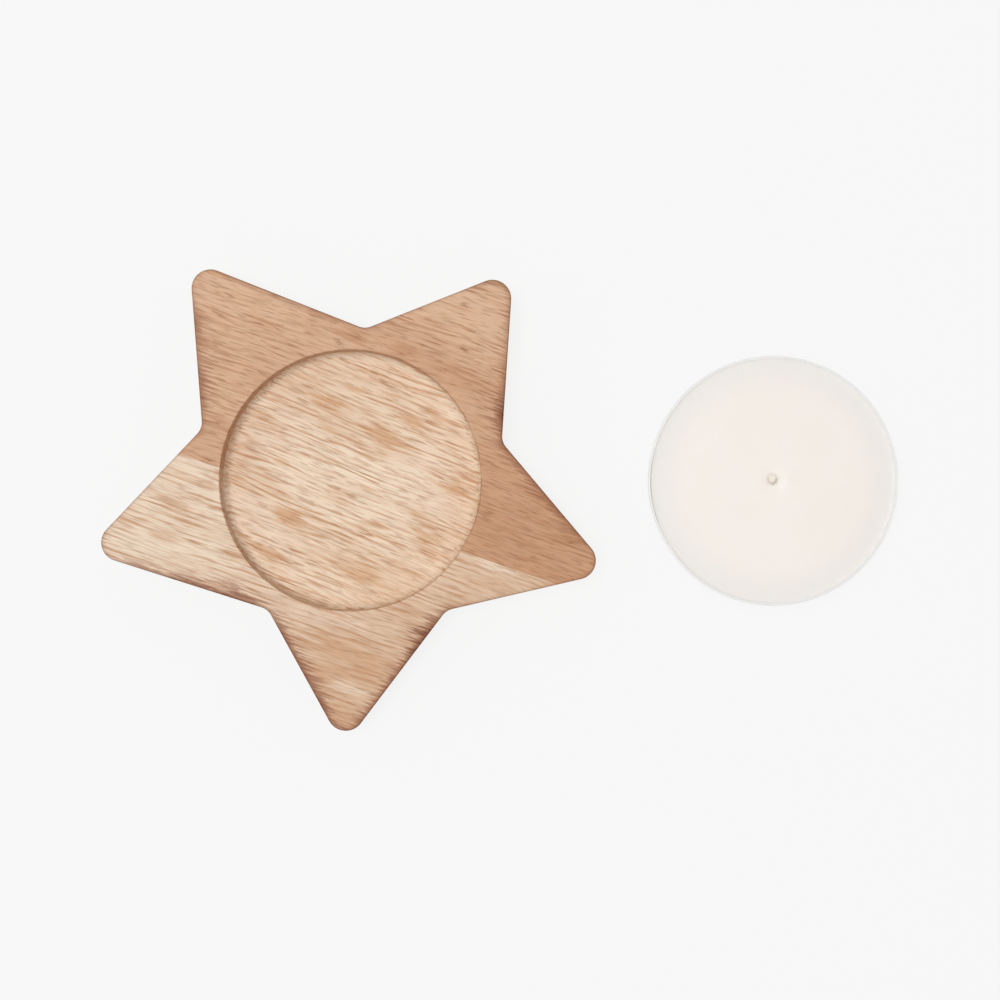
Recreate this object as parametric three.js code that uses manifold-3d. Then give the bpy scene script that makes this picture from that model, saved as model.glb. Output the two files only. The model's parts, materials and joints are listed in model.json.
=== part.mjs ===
// A star-shaped wooden tealight holder with its tealight. Millimetres, +Z up.
// The origin is on the recess's axis, on the surface that the holder stands on. One tip of the star points
// along -Y, and the tealight stands beside the holder on the same surface, towards +X.
import * as THREE from "three";
import { mergeVertices } from "three/addons/utils/BufferGeometryUtils.js";
import Module from "manifold-3d";

// ---- Tealight: a thin clear cup cast full of wax round a wick ----
const CUP_MOUTH_D = 37.6;
const CUP_TAPER = 1; // how much less the foot's radius is than the mouth's
const CUP_HEIGHT = 15;
const CUP_WALL = 0.35;
const CUP_FLOOR = 0.4;
const CUP_FOOT_ROUND = 0.8; // outside, between the foot and the wall
const WAX_BELOW_RIM = 0.4;
const WAX_SHOULDER = 0.2; // radius of the wax's rounded upper edge
const WICK_D = 1.3;
const WICK_ABOVE_WAX = 3.2;
const DIMPLE_D = 5; // hollow left round the wick as the wax shrinks
const DIMPLE_DEPTH = 0.35;
const SUSTAINER_D = 12.5;
const SUSTAINER_SHEET = 0.3;
const SUSTAINER_NECK = 3; // height of the crimped neck over the disc
const CAST_FIT = 0.05; // between the wax and what it is cast against
const CRIMP_FIT = 0.03; // between the wick and the sustainer's neck

// ---- Holder: two boards glued edge to edge, on a third ----
const RECESS_CLEARANCE = 1.2; // all round the cup's mouth
const RECESS_COVE = 1.5; // radius between the recess's wall and its floor
const RECESS_BITE = 1.3; // how far the recess goes on into the base board
const NOTCH_WALL = 3.9; // wood between the recess and the bottom of a regular notch
const ARM_LENGTH = 17.6; // from the circle through the notches to the tips, before either is rounded
const TIP_ROUND = 2.9;
const NOTCH_ROUND = 2.6;
const BASE_THICKNESS = 6;
const TOP_THICKNESS = 4;
const GLUE_FILM = 0.1;
const EDGE_JOINT_TURN = -17.5; // degrees from +X to the joint between the two top boards
const EDGE_JOINT_OFFSET = 4.7; // from the recess's axis to that joint, towards the -Y tip

// The star is sawn by hand, so each corner strays from a regular star's: [reach in mm, turn in degrees],
// from the -Y tip and the notch after it, round by way of +X.
const TIP_STRAY = [[-0.8, 0], [0.8, 0.2], [-0.8, -0.2], [0.3, 1.6], [0.4, -1.5]];
const NOTCH_STRAY = [[0.8, 2], [0, -2.2], [-0.6, -4], [0.1, 0.1], [-0.5, 4.9]];

// ---- Where the tealight stands ----
const STANDS_CLEAR = 7.3; // gap from the star's widest point to the cup's mouth, along X
const STANDS_ASIDE = 1.6; // along Y, from the recess's axis

// ---- Fineness of the round stretches ----
const ARC_STEPS = 10; // on each rounded corner
const RECESS_STEPS = 96;
const COVE_STEPS = 4;
const CUP_STEPS = 72;
const SMALL_STEPS = 24; // round the wick and the sustainer's neck

const RECESS_R = CUP_MOUTH_D / 2 + RECESS_CLEARANCE;
const NOTCH_REACH = RECESS_R + NOTCH_WALL;
const TIP_REACH = NOTCH_REACH + ARM_LENGTH;
const TOP_UNDERSIDE = BASE_THICKNESS + GLUE_FILM;
const RECESS_FLOOR = BASE_THICKNESS - RECESS_BITE;

const WOOD_BROWN = 0xc99c7a;
const WOOD_PALE = 0xe0c3a4;

const wasm = await Module();
wasm.setup();

const radians = THREE.MathUtils.degToRad;

// ---- Joining and cutting ----

function toSolid(geometry) {
  const bare = geometry.clone().deleteAttribute("normal").deleteAttribute("uv");
  const merged = mergeVertices(bare, 1e-4);
  return new wasm.Manifold(
    new wasm.Mesh({
      numProp: 3,
      vertProperties: new Float32Array(merged.attributes.position.array),
      triVerts: new Uint32Array(merged.index.array),
    }),
  );
}

function toGeometry(solid) {
  const mesh = solid.getMesh();
  const geometry = new THREE.BufferGeometry();
  geometry.setAttribute("position", new THREE.BufferAttribute(mesh.vertProperties, 3));
  geometry.setIndex(new THREE.BufferAttribute(mesh.triVerts, 1));
  geometry.computeVertexNormals();
  return geometry;
}

// ---- Spun shapes ----

const v = (x, y) => new THREE.Vector2(x, y);

// An arc as profile points, between two directions in degrees.
function arcPoints(x, y, radius, from, to, steps) {
  return Array.from({ length: steps + 1 }, (_, i) => {
    const turn = radians(from + ((to - from) * i) / steps);
    return v(x + radius * Math.cos(turn), y + radius * Math.sin(turn));
  });
}

// Spins a profile of (radius, height) points about the vertical axis.
function spun(profile, steps) {
  return new THREE.LatheGeometry(profile, steps).rotateX(Math.PI / 2);
}

// ---- The star's outline ----

function starCorners() {
  const corner = (reach, turn) => v(reach * Math.cos(radians(turn)), reach * Math.sin(radians(turn)));
  const corners = [];
  for (let arm = 0; arm < 5; arm++) {
    const tipTurn = -90 + 72 * arm;
    const [tipOut, tipRound] = TIP_STRAY[arm];
    const [notchOut, notchRound] = NOTCH_STRAY[arm];
    corners.push({ at: corner(TIP_REACH + tipOut, tipTurn + tipRound), round: TIP_ROUND });
    corners.push({
      at: corner(NOTCH_REACH + notchOut, tipTurn + 36 + notchRound),
      round: NOTCH_ROUND,
    });
  }
  return corners;
}

// Runs the outline round the corners, with an arc tangent to both sides at each.
function roundedOutline(corners) {
  const outline = new THREE.Shape();
  corners.forEach(({ at, round }, i) => {
    const before = corners.at(i - 1).at.clone().sub(at).normalize();
    const after = corners[(i + 1) % corners.length].at.clone().sub(at).normalize();
    const half = Math.acos(before.dot(after)) / 2;
    const middle = before.clone().add(after).normalize();
    const centre = at.clone().addScaledVector(middle, round / Math.sin(half));
    const tangent = round / Math.tan(half);
    const start = at.clone().addScaledVector(before, tangent).sub(centre);
    const end = at.clone().addScaledVector(after, tangent).sub(centre);
    const clockwise = start.cross(end) < 0;
    outline.absarc(centre.x, centre.y, round, start.angle(), end.angle(), clockwise);
  });
  return outline;
}

const star = roundedOutline(starCorners());
const starWidest = Math.max(...star.getPoints(ARC_STEPS).map((point) => point.x));

// ---- The boards ----

function starBlank(thickness) {
  return new THREE.ExtrudeGeometry(star, {
    depth: thickness,
    bevelEnabled: false,
    curveSegments: ARC_STEPS,
  });
}

// What the round-cornered cutter takes out for the recess, from its floor to well above the holder.
function recessCut() {
  const clearOfTop = RECESS_FLOOR + 2 * (TOP_THICKNESS + RECESS_COVE);
  const cut = spun(
    [
      v(0, RECESS_FLOOR),
      ...arcPoints(RECESS_R - RECESS_COVE, RECESS_FLOOR + RECESS_COVE, RECESS_COVE, -90, 0, COVE_STEPS),
      v(RECESS_R, clearOfTop),
      v(0, clearOfTop),
    ],
    RECESS_STEPS,
  );
  return toSolid(cut);
}

function baseBoard() {
  return toGeometry(toSolid(starBlank(BASE_THICKNESS)).subtract(recessCut()));
}

// The board on one side of the edge joint: side is 1 away from the -Y tip and -1 towards it.
function topBoard(side) {
  const layer = toSolid(starBlank(TOP_THICKNESS).translate(0, 0, TOP_UNDERSIDE));
  const reach = 2 * TIP_REACH;
  const halfSpace = new THREE.BoxGeometry(2 * reach, reach, 4 * TOP_THICKNESS);
  const jointFace = -EDGE_JOINT_OFFSET + (side * GLUE_FILM) / 2;
  halfSpace.translate(0, jointFace + (side * reach) / 2, TOP_UNDERSIDE);
  halfSpace.rotateZ(radians(EDGE_JOINT_TURN));
  return toGeometry(layer.subtract(recessCut()).intersect(toSolid(halfSpace)));
}

// ---- The tealight ----

// The cup's outer radius at a height.
const cupRadius = (height) => CUP_MOUTH_D / 2 - CUP_TAPER * (1 - height / CUP_HEIGHT);

function cup() {
  const foot = cupRadius(0);
  return spun(
    [
      v(0, 0),
      ...arcPoints(foot - CUP_FOOT_ROUND, CUP_FOOT_ROUND, CUP_FOOT_ROUND, -90, 0, 4),
      v(cupRadius(CUP_HEIGHT), CUP_HEIGHT),
      v(cupRadius(CUP_HEIGHT) - CUP_WALL, CUP_HEIGHT),
      v(cupRadius(CUP_FLOOR) - CUP_FOOT_ROUND, CUP_FLOOR),
      v(0, CUP_FLOOR),
    ],
    CUP_STEPS,
  );
}

const WAX_TOP = CUP_HEIGHT - WAX_BELOW_RIM;
const WAX_BOTTOM = CUP_FLOOR + CAST_FIT;
const NECK_BORE_R = WICK_D / 2 + CRIMP_FIT;
const NECK_R = NECK_BORE_R + SUSTAINER_SHEET;
const NECK_TOP = WAX_BOTTOM + SUSTAINER_SHEET + SUSTAINER_NECK;

// The wax's outer radius at a height, just inside the cup's wall, which runs straight from floor to rim.
function waxRadius(height) {
  const floor = cupRadius(CUP_FLOOR) - CUP_FOOT_ROUND;
  const rim = cupRadius(CUP_HEIGHT) - CUP_WALL;
  const share = (height - CUP_FLOOR) / (CUP_HEIGHT - CUP_FLOOR);
  return floor + (rim - floor) * share - CAST_FIT;
}

function wax() {
  const wickHole = WICK_D / 2 + CAST_FIT;
  const shoulder = waxRadius(WAX_TOP - WAX_SHOULDER);
  const profile = [
    v(SUSTAINER_D / 2 + CAST_FIT, WAX_BOTTOM),
    v(waxRadius(WAX_BOTTOM), WAX_BOTTOM),
    ...arcPoints(shoulder - WAX_SHOULDER, WAX_TOP - WAX_SHOULDER, WAX_SHOULDER, 0, 90, 4),
    v(DIMPLE_D / 2, WAX_TOP),
    v(wickHole, WAX_TOP - DIMPLE_DEPTH),
    v(wickHole, NECK_TOP + CAST_FIT),
    v(NECK_R + CAST_FIT, NECK_TOP + CAST_FIT),
    v(NECK_R + CAST_FIT, WAX_BOTTOM + SUSTAINER_SHEET + CAST_FIT),
    v(SUSTAINER_D / 2 + CAST_FIT, WAX_BOTTOM + SUSTAINER_SHEET + CAST_FIT),
  ];
  return spun([...profile, profile[0].clone()], CUP_STEPS);
}

function sustainer() {
  const discTop = WAX_BOTTOM + SUSTAINER_SHEET;
  const profile = [
    v(NECK_BORE_R, WAX_BOTTOM),
    v(SUSTAINER_D / 2, WAX_BOTTOM),
    v(SUSTAINER_D / 2, discTop),
    v(NECK_R, discTop),
    v(NECK_R, NECK_TOP),
    v(NECK_BORE_R, NECK_TOP),
  ];
  return spun([...profile, profile[0].clone()], SMALL_STEPS);
}

function wick() {
  const top = WAX_TOP + WICK_ABOVE_WAX;
  const cylinder = new THREE.CylinderGeometry(WICK_D / 2, WICK_D / 2, top - WAX_BOTTOM, SMALL_STEPS);
  return cylinder.rotateX(Math.PI / 2).translate(0, 0, (top + WAX_BOTTOM) / 2);
}

// ---- The assembly ----

function piece(name, geometry, look) {
  const mesh = new THREE.Mesh(geometry, new THREE.MeshStandardMaterial(look));
  mesh.name = name;
  return mesh;
}

const paleWood = { color: WOOD_PALE, roughness: 0.65, metalness: 0 };
const brownWood = { color: WOOD_BROWN, roughness: 0.65, metalness: 0 };
const clearPlastic = { color: 0xf4f4f2, roughness: 0.15, metalness: 0, transparent: true, opacity: 0.35 };
const whiteWax = { color: 0xf2ebe4, roughness: 0.45, metalness: 0 };
const cotton = { color: 0xf3efe2, roughness: 0.9, metalness: 0 };
const tinplate = { color: 0xbfc0c0, roughness: 0.35, metalness: 1 };

const holder = new THREE.Group();
holder.add(piece("base_board", baseBoard(), paleWood));
holder.add(piece("heartwood_board", topBoard(1), brownWood));
holder.add(piece("sapwood_board", topBoard(-1), paleWood));

const tealight = new THREE.Group();
tealight.position.set(starWidest + STANDS_CLEAR + CUP_MOUTH_D / 2, STANDS_ASIDE, 0);
tealight.add(piece("tealight_cup", cup(), clearPlastic));
tealight.add(piece("wax_fill", wax(), whiteWax));
tealight.add(piece("wick", wick(), cotton));
tealight.add(piece("wick_sustainer", sustainer(), tinplate));

const tealightHolder = new THREE.Group();
tealightHolder.add(holder, tealight);

export default tealightHolder;
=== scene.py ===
import json
import math

import bmesh
import bpy
from mathutils import Matrix, Vector
from mathutils.geometry import delaunay_2d_cdt, intersect_line_line_2d, intersect_point_line
from mathutils.kdtree import KDTree


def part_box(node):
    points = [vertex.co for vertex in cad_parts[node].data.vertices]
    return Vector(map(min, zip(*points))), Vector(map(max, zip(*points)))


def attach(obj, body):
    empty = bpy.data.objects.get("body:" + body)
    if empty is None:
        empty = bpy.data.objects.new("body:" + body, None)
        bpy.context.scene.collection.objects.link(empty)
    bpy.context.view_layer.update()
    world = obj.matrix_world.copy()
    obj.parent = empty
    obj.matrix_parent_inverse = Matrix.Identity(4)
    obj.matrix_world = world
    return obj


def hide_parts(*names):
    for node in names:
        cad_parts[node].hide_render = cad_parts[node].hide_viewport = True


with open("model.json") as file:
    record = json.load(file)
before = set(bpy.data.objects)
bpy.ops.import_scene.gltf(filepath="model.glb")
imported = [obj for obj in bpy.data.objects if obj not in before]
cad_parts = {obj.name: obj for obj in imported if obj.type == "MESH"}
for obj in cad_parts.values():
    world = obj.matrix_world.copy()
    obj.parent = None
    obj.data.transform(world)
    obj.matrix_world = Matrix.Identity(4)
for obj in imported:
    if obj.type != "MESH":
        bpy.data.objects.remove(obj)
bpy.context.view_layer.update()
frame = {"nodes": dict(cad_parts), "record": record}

# A hand-sawn star of three glued boards with a turned recess, and the tealight that stands beside it.
# Everything is in metres in the CAD's own frame: +Z up, the recess's axis on the Z axis, one tip along -Y.

MM = 0.001

# ---- What the frame says ----
base_low, base_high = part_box("base_board")
top_low, top_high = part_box("heartwood_board")
cup_low, cup_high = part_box("tealight_cup")
wax_low, wax_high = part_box("wax_fill")
wick_low, wick_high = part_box("wick")
sustainer_low, sustainer_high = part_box("wick_sustainer")
TOP = top_high.z
SEAM = (base_high.z + top_low.z) / 2  # the middle of the glue film between the base and the top layer
SEAT = next(m for m in frame["record"]["mounts"] if m["name"] == "tealight_seat")["pos_m"][2]
CANDLE = (cup_low + cup_high) / 2
CANDLE.z = 0

# ---- Sizes of the boards' finish, which the plain solids leave out ----
RECESS_COVE = 1.5 * MM  # radius of the recess's coved corner
ARRIS = 0.3 * MM  # rounding that sanding leaves on the star's upper and lower edges
MOUTH_ARRIS = 0.12 * MM  # the same round the recess's mouth
SEAM_GROOVE = 0.06 * MM  # hairline where the layers meet on the sawn sides
GLUE_HAIRLINE = 0.002 * MM  # each top board stops this short of the glue line
GLUE_TURN = math.radians(-17.5)  # how far the glue line is turned from the X axis
NARROW = 1e-6  # metres, under which two places count as one
SHORTEST_SIDE = 4 * MM  # the star's straight sides are longer than this, its corners' facets shorter

# ---- Grain ----
GRAIN_WANDER = 1.2 * MM  # how far the grain strays from side to side
GRAIN_TURN = math.radians(-18)
FLOOR_GRAIN_TURN = math.radians(-20.5)
MARK_STRENGTH = 0.9  # of the single blotches, on top of each one's own strength
GRAIN_LINE_SPACING = 0.85 * MM
GRAIN_LINE_SWAY = 14  # radians, how far the lines stray from even spacing

# ---- How finely the boards are divided ----
EDGE_STEP = 0.5 * MM  # spacing of vertices along the outline
FACE_STEP = 0.7 * MM  # spacing of vertices on the top face
EDGE_ROWS = (0.7 * MM, 1.15 * MM)  # insets of closer rows, where the scorch fades fast
ROW_CLEARANCE = 0.25 * MM  # a scattered vertex nearer a row than this is dropped
ROW_SLACK = 0.02 * MM  # a row's vertex that has come nearer another side by more than this is dropped
MOUTH_CLEARANCE = 0.3 * MM  # from the recess's mouth to the nearest vertex of a row
ROW_PITCH = 0.87  # height of a triangle in the even grid, per unit of side
ARC_STEPS = 22  # to a corner of the star
RECESS_STEPS = 192  # round the recess
BEND_STEPS = 6  # to an arris or a cove

# ---- The saw's scorch along the outline ----
# Each row is (place, strength, reach inwards in mm), the place as in star_outline. The scorch runs in
# furthest where the grain ends at the edge.
SCORCH = [
    (0.0, 0.55, 1.8), (0.3, 0.6, 2.0), (0.6, 0.65, 2.2), (0.8, 0.95, 4.2), (0.95, 0.6, 2.5),
    (1.05, 0.25, 1.0), (1.5, 0.06, 0.8), (1.95, 0.12, 1.0), (2.1, 0.4, 2.0), (2.5, 0.5, 3.0),
    (2.9, 0.4, 2.5), (3.0, 0.5, 2.0), (3.15, 0.8, 4.5), (3.3, 0.5, 3.5), (3.6, 0.3, 2.5),
    (4.0, 0.35, 2.0), (4.2, 0.06, 1.0), (4.9, 0.08, 1.0), (5.1, 0.3, 1.2), (5.8, 0.3, 1.2),
    (6.0, 0.15, 1.0), (6.25, 0.45, 3.0), (6.5, 0.3, 3.0), (6.75, 0.55, 3.5), (6.95, 0.35, 2.5),
    (7.1, 0.06, 1.0), (7.9, 0.06, 1.0), (8.1, 0.35, 1.2), (8.4, 0.6, 2.0), (8.7, 0.6, 3.0),
    (8.9, 0.7, 3.4), (9.0, 0.4, 2.0), (9.2, 0.65, 2.8), (9.5, 0.7, 2.8), (9.7, 0.6, 2.6),
    (9.85, 0.7, 3.0), (10.0, 0.55, 1.8),
]

# ---- The tealight ----
CUP_WALL = 0.35 * MM
CUP_FLOOR = 0.4 * MM
CUP_FOOT_ROUND = 0.8 * MM
CUP_TAPER = 1.0 * MM  # how much less the foot's radius is than the mouth's
CUP_BEAD = 0.22 * MM  # radius of the rim's rounded bead
CUP_DRAW = 0.02 * MM  # how far the moulded wall is drawn in below the bead
CUP_LEVELS = [4 * MM, 8 * MM, 12 * MM, 14.2 * MM]  # heights of the wall's rings
CUP_SUNK = 0.25 * MM  # how far the cup's floor is sunk above its foot ring
FOOT_RING = 2.1 * MM  # from the foot's outside to the ring's inner edge
FOOT_SLOPE = 0.5 * MM  # width of the slope from the ring up to the sunk floor
WAX_FIT = 0.05 * MM  # between the wax and the cup
WAX_CLING = 0.1 * MM  # how far the wax climbs the wall
WAX_CLING_REACH = 0.5 * MM  # how far from the wall that climb fades
WAX_FOOT = 1 * MM  # how far the wax's foot is drawn in over its lowest rise
WAX_RINGS = 48
WAX_CROWDING = 1.4  # above 1, the rings of the wax's face are closer near the wall
WAX_SAG = 0.12 * MM  # how far the wax has sunk between its edge and the wick as it set
WICK_PIT_R = 1.15 * MM
WICK_PIT_DEPTH = 0.35 * MM
WICK_LEAN = (-0.6 * MM, 0.35 * MM)  # how far the wick's tip leans over
WICK_BURIED = MM  # below the wax's rim, where the wick begins to lean
WICK_STRANDS = 8
WICK_TURNS = 3.0
STRAND_SHARE = 0.3  # a strand's radius, as a share of the wick's
STRAND_PACKING = 1.4  # strand radii from the plait's outside to its middle line
WICK_SLANT = 0.12 * MM  # how far the leaning strands' ends stand above the plait's own length
TIN_SHEET = 0.3 * MM
TIN_FIT = 0.03 * MM  # between the tin's neck and the wick
TIN_FILLET = 0.5 * MM  # at the foot of the neck
TURN_STEPS = 160  # round each turned piece


# ======== Small tools ========

def link(name, mesh):
    """A new object for a mesh, in the scene."""
    made = bpy.data.objects.new(name, mesh)
    bpy.context.scene.collection.objects.link(made)
    return made


def from_bmesh(name, bm, sharp_degrees=35):
    """A smooth-shaded object from a bmesh, with its normals facing out."""
    bmesh.ops.recalc_face_normals(bm, faces=bm.faces)
    mesh = bpy.data.meshes.new(name)
    bm.to_mesh(mesh)
    bm.free()
    mesh.shade_smooth()
    mesh.set_sharp_from_angle(angle=math.radians(sharp_degrees))
    return link(name, mesh)


def srgb(red, green, blue):
    """A linear colour from the usual 0 to 255 values."""
    def linear(value):
        value /= 255
        return value / 12.92 if value <= 0.04045 else ((value + 0.055) / 1.055) ** 2.4
    return (linear(red), linear(green), linear(blue), 1.0)


def node(tree, kind, inputs=None, **settings):
    """A new node with its settings, and with each input linked to a socket or set to a value."""
    made = tree.nodes.new(kind)
    for name, value in settings.items():
        setattr(made, name, value)
    for key, value in (inputs or {}).items():
        if isinstance(value, bpy.types.NodeSocket):
            tree.links.new(value, made.inputs[key])
        else:
            made.inputs[key].default_value = value
    return made


def calc(tree, operation, *values, clamp=False):
    """The result of a Math node."""
    made = node(tree, "ShaderNodeMath", dict(enumerate(values)), operation=operation, use_clamp=clamp)
    return made.outputs[0]


# ======== The star's outline, from the base board's underside ========

def star_sides():
    """The ten straight sides of the star, each (start, end), anticlockwise from the -Y tip."""
    bm = bmesh.new()
    bm.from_mesh(frame["nodes"]["base_board"].data)
    bmesh.ops.remove_doubles(bm, verts=bm.verts, dist=NARROW)
    underside = {f for f in bm.faces if all(v.co.z < base_low.z + NARROW for v in f.verts)}
    sides = []
    for edge in bm.edges:
        rim = sum(f in underside for f in edge.link_faces) == 1
        if rim and edge.calc_length() > SHORTEST_SIDE:
            start, end = (v.co.xy.copy() for v in edge.verts)
            sides.append((start, end) if start.cross(end) > 0 else (end, start))
    bm.free()

    def turn_from_tip(side):
        middle = (side[0] + side[1]) / 2
        return (math.atan2(middle.y, middle.x) + math.pi / 2) % math.tau
    return sorted(sides, key=turn_from_tip)


def corner_arc(end, inward, after, place):
    """The points strictly inside the arc that joins the end of one side to the start of the next."""
    start = after[0]
    along = (after[1] - after[0]).normalized()
    across = Vector((-along.y, along.x))
    centre = intersect_line_line_2d(end - inward, end + inward, start - across, start + across)
    convex = (centre - end).dot(inward) > 0
    turn = -(end - centre).angle_signed(start - centre)
    points = []
    for k in range(1, ARC_STEPS):
        spoke = Matrix.Rotation(turn * k / ARC_STEPS, 2) @ (end - centre)
        points.append((centre + spoke, (-spoke if convex else spoke).normalized(), float(place)))
    return points


def star_outline():
    """Points round the star as (point, inward normal, place), where place is the side's number plus the
    share of it that lies behind. The corners are arcs tangent to both their sides."""
    sides = star_sides()
    outline = []
    for i, (start, end) in enumerate(sides):
        along = (end - start).normalized()
        inward = Vector((-along.y, along.x))
        steps = max(2, round((end - start).length / EDGE_STEP))
        for k in range(steps + 1):
            outline.append((start.lerp(end, k / steps), inward, i + k / steps))
        outline += corner_arc(end, inward, sides[(i + 1) % len(sides)], i + 1)
    return outline


OUTLINE = star_outline()
OUTLINE_TREE = KDTree(len(OUTLINE))
for number, (point, _, _) in enumerate(OUTLINE):
    OUTLINE_TREE.insert((point.x, point.y, 0), number)
OUTLINE_TREE.balance()
board_vertices = frame["nodes"]["heartwood_board"].data.vertices
RECESS_R = min(v.co.xy.length for v in board_vertices if v.co.z > TOP - NARROW)


def to_outline(point):
    """(distance, place) of the nearest point of the outline."""
    _, number, _ = OUTLINE_TREE.find((point.x, point.y, 0))
    gap = math.inf
    for step in (-1, 0):
        start = OUTLINE[(number + step) % len(OUTLINE)][0]
        end = OUTLINE[(number + step + 1) % len(OUTLINE)][0]
        foot, share = intersect_point_line(point, start, end)
        foot = start.lerp(end, min(1, max(0, share)))
        gap = min(gap, (foot.xy - point).length)
    return gap, OUTLINE[number][2]


def scorch_at(place):
    """How strongly the saw scorched the edge at a place on the outline, and how far in, in metres."""
    for (before, low, shallow), (after, high, deep) in zip(SCORCH, SCORCH[1:]):
        if place <= after:
            share = (place - before) / (after - before)
            return low + (high - low) * share, (shallow + (deep - shallow) * share) * MM
    return SCORCH[-1][1], SCORCH[-1][2] * MM


# ======== The boards ========

def rounded(inner, outer, top, radius, steps=BEND_STEPS):
    """A quarter round from a flat face at height top to an upright side, as (sideways, height) pairs."""
    side = 1 if outer > inner else -1
    turns = [k / steps * math.pi / 2 for k in range(steps + 1)]
    return [(outer - side * radius * (1 - math.sin(t)), top - radius * (1 - math.cos(t))) for t in turns]


def outline_ring(bm, inset, height):
    return [bm.verts.new((*(point + inward * inset), height)) for point, inward, _ in OUTLINE]


def round_ring(bm, radius, height):
    turns = [k / RECESS_STEPS * math.tau for k in range(RECESS_STEPS)]
    return [bm.verts.new((radius * math.cos(t), radius * math.sin(t), height)) for t in turns]


def strip(bm, rings):
    """The faces between each ring and the next."""
    for upper, lower in zip(rings, rings[1:]):
        for i in range(len(upper)):
            j = (i + 1) % len(upper)
            bm.faces.new((upper[i], upper[j], lower[j], lower[i]))


def level_face(bm, outer, hole=(), step=None):
    """Triangles inside an outer ring and round a hole's ring, all at one height. A step scatters more
    vertices over the face, about that far apart."""
    ring_verts = outer + list(hole)
    points = [v.co.xy.copy() for v in ring_verts]
    outer_edges = [(i, (i + 1) % len(outer)) for i in range(len(outer))]
    hole_edges = [(len(outer) + i, len(outer) + (i + 1) % len(hole)) for i in range(len(hole))]
    hole_radius = hole[0].co.xy.length if hole else 0
    height = outer[0].co.z
    extra = []
    if step:
        reach = max(p.length for p in points)
        count = int(reach / step) + 1
        for i in range(-count, count + 1):
            for j in range(-count, count + 1):
                point = Vector((i + 0.5 * (j % 2), j * ROW_PITCH)) * step
                if point.length > hole_radius + step * 0.6 and inside_star(point):
                    if to_outline(point)[0] > step * 0.8:
                        extra.append(point)
        # closer rows along the sawn edge, clear of the scattered vertices and of the mouth
        for inset in EDGE_ROWS:
            row = [p + n * inset for p, n, _ in OUTLINE]
            extra = [p for p in extra if abs(to_outline(p)[0] - inset) > ROW_CLEARANCE]
            extra += [p for p in row if inside_star(p) and abs(to_outline(p)[0] - inset) < ROW_SLACK
                      and p.length > hole_radius + MOUTH_CLEARANCE]
    found = delaunay_2d_cdt(points + extra, outer_edges + hole_edges, [], 1, 1e-7)
    places, triangles, sources = found[0], found[2], found[3]
    verts = {}
    for number, source in enumerate(sources):
        given = [s for s in source if s < len(ring_verts)]
        verts[number] = ring_verts[given[0]] if given else bm.verts.new((*places[number], height))
    for triangle in triangles:
        middle = sum((places[i] for i in triangle), Vector((0, 0))) / 3
        if middle.length > hole_radius * 0.9999 and inside_star(middle):
            bm.faces.new([verts[i] for i in triangle])


def inside_star(point):
    """Whether a point lies inside the outline."""
    _, number, _ = OUTLINE_TREE.find((point.x, point.y, 0))
    nearest, inward, _ = OUTLINE[number]
    return (point - nearest).dot(inward) > 0


def cove_points(low_share, high_share):
    """The recess's coved corner as (radius, height), from one share of its quarter turn to another."""
    shares = [low_share + (high_share - low_share) * k / BEND_STEPS for k in range(BEND_STEPS + 1)]
    return [(RECESS_R - RECESS_COVE * (1 - math.cos(s * math.pi / 2)),
             SEAT + RECESS_COVE * (1 - math.sin(s * math.pi / 2))) for s in shares]


SEAM_SHARE = math.asin((SEAT + RECESS_COVE - SEAM) / RECESS_COVE) / (math.pi / 2)


def top_layer():
    """Both top boards as one closed solid, still in one piece."""
    bm = bmesh.new()
    edge = [(ARRIS - s, z) for s, z in rounded(0, ARRIS, TOP, ARRIS)]
    outer = [outline_ring(bm, inset, z) for inset, z in edge]
    outer += [outline_ring(bm, 0, SEAM + SEAM_GROOVE), outline_ring(bm, SEAM_GROOVE, SEAM)]
    mouth = [(RECESS_R + MOUTH_ARRIS - s, z) for s, z in rounded(0, MOUTH_ARRIS, TOP, MOUTH_ARRIS)]
    inner = [round_ring(bm, r, z) for r, z in mouth + cove_points(0, SEAM_SHARE)]
    strip(bm, outer)
    strip(bm, inner)
    level_face(bm, outer[0], inner[0], FACE_STEP)
    level_face(bm, outer[-1], inner[-1])
    return bm


def base_layer():
    """The base board, with the bottom of the recess sunk a little into it."""
    bm = bmesh.new()
    lower = [(ARRIS - s, TOP - z) for s, z in rounded(0, ARRIS, TOP, ARRIS)]
    outer = [outline_ring(bm, SEAM_GROOVE, SEAM), outline_ring(bm, 0, SEAM - SEAM_GROOVE)]
    outer += [outline_ring(bm, inset, z) for inset, z in reversed(lower)]
    inner = [round_ring(bm, r, z) for r, z in cove_points(SEAM_SHARE, 1)]
    strip(bm, outer)
    strip(bm, inner)
    level_face(bm, outer[0], inner[0])
    bm.faces.new(inner[-1])
    level_face(bm, outer[-1])
    return bm


def add_edge_marks(board):
    """Gives every vertex its distance from the sawn edge and the strength and reach of the scorch there."""
    names = ("edge_gap", "scorch", "scorch_reach")
    marks = [board.data.attributes.new(name, "FLOAT", "POINT").data for name in names]
    for vertex in board.data.vertices:
        gap, place = to_outline(vertex.co.xy)
        for mark, value in zip(marks, (gap, *scorch_at(place))):
            mark[vertex.index].value = value


def glue_line():
    """(normal, distance from the recess's axis) of the glue line between the two top boards."""
    normal = Vector((math.sin(GLUE_TURN), -math.cos(GLUE_TURN)))
    brown = max(v.co.xy.dot(normal) for v in frame["nodes"]["heartwood_board"].data.vertices)
    pale = min(v.co.xy.dot(normal) for v in frame["nodes"]["sapwood_board"].data.vertices)
    return normal, (brown + pale) / 2


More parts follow.
